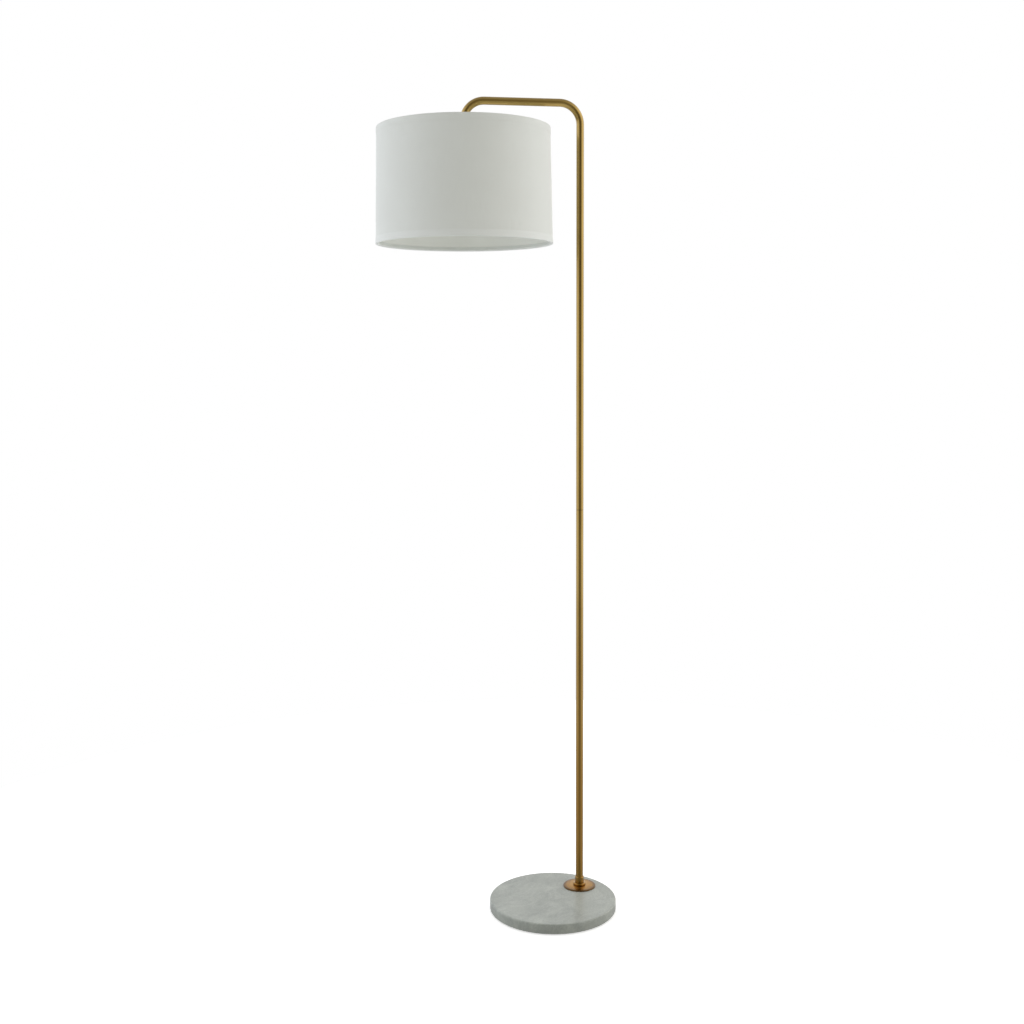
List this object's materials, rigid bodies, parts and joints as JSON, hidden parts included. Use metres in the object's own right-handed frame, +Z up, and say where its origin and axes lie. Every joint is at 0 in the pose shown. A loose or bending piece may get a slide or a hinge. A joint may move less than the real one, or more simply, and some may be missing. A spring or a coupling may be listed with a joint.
{
  "type": "arc floor lamp",
  "caption": "Floor lamp: round marble foot, off-centre pole that bends over into a short level arm, and a drum shade hanging from its end; the pole swivels and the bulb unscrews.",
  "frame": {"origin": "centre of the round foot's underside, on the floor", "axes": "+Z up the pole; the arm reaches from the pole along -X; -Y is the front"},
  "size_m": [0.4586, 0.3448, 1.6],
  "materials": {
    "marble": "polished",
    "aged_brass": "satin",
    "bronzed_brass": "satin",
    "zinc_steel": "plated",
    "brass_bare": "satin",
    "white_wire": "semi-gloss",
    "felt": "matte",
    "phenolic": "satin",
    "black_plastic": "matte",
    "white_plastic": "satin",
    "flex": "matte",
    "core": "matte",
    "porcelain": "glazed",
    "nickel": "bright",
    "diffuser": "frosted",
    "linen": "woven",
    "liner": "matte"
  },
  "bodies": {
    "foot": {"base_pad": "felt", "marble_base": "marble", "base_washer": "zinc_steel", "star_washer": "zinc_steel", "base_nut": "brass_bare", "threaded_stem": "zinc_steel", "base_flange": "bronzed_brass", "lock_collar": "aged_brass", "cord_gland": "black_plastic", "terminal_block": "white_plastic", "terminal_sleeves": "brass_bare", "terminal_screws": "zinc_steel", "base_cores": "core", "base_lead": "flex"},
    "pole": {"pole_ferrule": "aged_brass", "foot_bush": "brass_bare", "pole_tube": "aged_brass", "joint_socket": "brass_bare", "joint_stud": "brass_bare", "arm_tube": "aged_brass", "pole_lead": "flex", "arm_end_bush": "brass_bare", "holder_nipple": "zinc_steel", "holder_cap": "phenolic", "holder_body": "phenolic", "switch_body": "black_plastic", "head_cores": "core", "holder_insulator": "porcelain", "screw_shell": "brass_bare", "centre_contact": "brass_bare"},
    "switch": {"switch_spindle": "zinc_steel", "switch_knob": "phenolic"},
    "shade": {"fitter_ring": "white_wire", "fitter_arms": "white_wire", "shade_top_wire": "white_wire", "shade_bottom_wire": "white_wire", "shade_liner": "liner", "shade_cover": "linen", "shade_top_hem": "linen", "shade_bottom_hem": "linen"},
    "ring_nut": {"shade_ring_nut": "phenolic"},
    "bulb": {"bulb_contact": "nickel", "bulb_insulator": "black_plastic", "bulb_cap": "nickel", "bulb_housing": "white_plastic", "bulb_globe": "diffuser"}
  },
  "joints": [
    {"name": "pole_swivel", "type": "hinge", "parent": "foot", "child": "pole", "pos_m": [0.06553, 0.04761, 0.03], "axis": [0, 0, 1], "range_deg": [-170, 170]},
    {"name": "shade_turn", "type": "hinge", "parent": "pole", "child": "shade", "pos_m": [-0.16147, 0.04761, 1.476], "axis": [0, 0, 1], "continuous": true},
    {"name": "switch_turn", "type": "hinge", "parent": "pole", "child": "switch", "pos_m": [-0.16147, 0.01761, 1.498], "axis": [0, -1, 0], "continuous": true},
    {"name": "ring_nut_unscrew", "type": "slide", "parent": "pole", "child": "ring_nut", "axis": [0, 0, -1], "range_m": [0, 0.009]},
    {"name": "bulb_unscrew", "type": "slide", "parent": "pole", "child": "bulb", "axis": [0, 0, -1], "range_m": [0, 0.027]}
  ]
}
